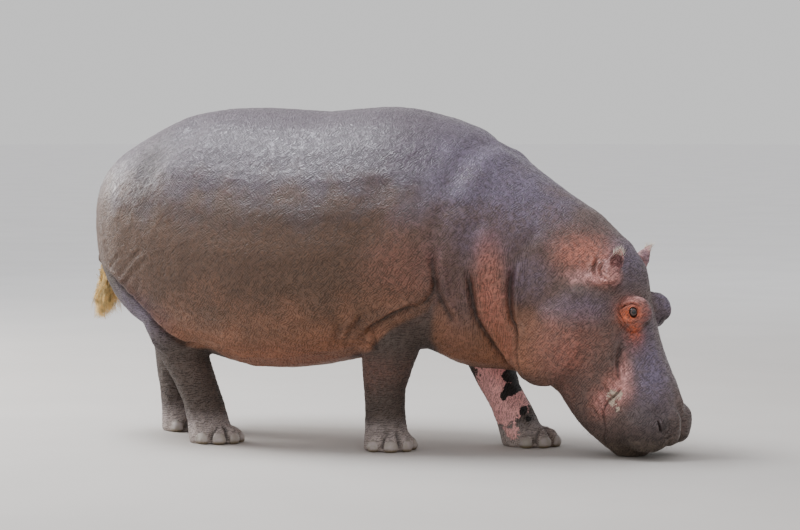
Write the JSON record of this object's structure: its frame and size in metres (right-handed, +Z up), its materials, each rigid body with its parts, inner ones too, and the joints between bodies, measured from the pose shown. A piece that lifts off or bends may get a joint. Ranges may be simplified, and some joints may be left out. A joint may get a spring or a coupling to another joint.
{
  "type": "hippopotamus",
  "caption": "Life-size still model of an adult hippopotamus walking with its muzzle lowered to the ground, for display and scene dressing.",
  "frame": {"origin": "centre of the bounding box in plan, on the floor under the feet", "axes": "+X points the way the animal faces, +Y to its left, +Z up"},
  "size_m": [2.8567, 1.1956, 1.5245],
  "materials": {
    "hide": "satin",
    "dark_hide": "satin",
    "horn": "satin",
    "eye": "gloss",
    "straw": "matte"
  },
  "bodies": {
    "root": {"foreleg_right": "hide", "foreleg_left": "hide", "hindleg_right": "hide", "hindleg_left": "hide", "nail_forefoot_right_inner": "horn", "nail_forefoot_right_second": "horn", "nail_forefoot_right_third": "horn", "nail_forefoot_right_outer": "horn", "forefoot_right": "dark_hide", "nail_forefoot_left_inner": "horn", "nail_forefoot_left_second": "horn", "nail_forefoot_left_third": "horn", "nail_forefoot_left_outer": "horn", "forefoot_left": "dark_hide", "nail_hindfoot_right_inner": "horn", "nail_hindfoot_right_second": "horn", "nail_hindfoot_right_third": "horn", "nail_hindfoot_right_outer": "horn", "hindfoot_right": "dark_hide", "nail_hindfoot_left_inner": "horn", "nail_hindfoot_left_second": "horn", "nail_hindfoot_left_third": "horn", "nail_hindfoot_left_outer": "horn", "hindfoot_left": "dark_hide", "tail": "hide", "tail_tuft": "straw", "trunk": "hide", "neck": "hide", "head": "hide", "lower_jaw": "hide", "ear_right": "hide", "eye_right": "eye", "ear_left": "hide", "eye_left": "eye"}
  },
  "joints": []
}
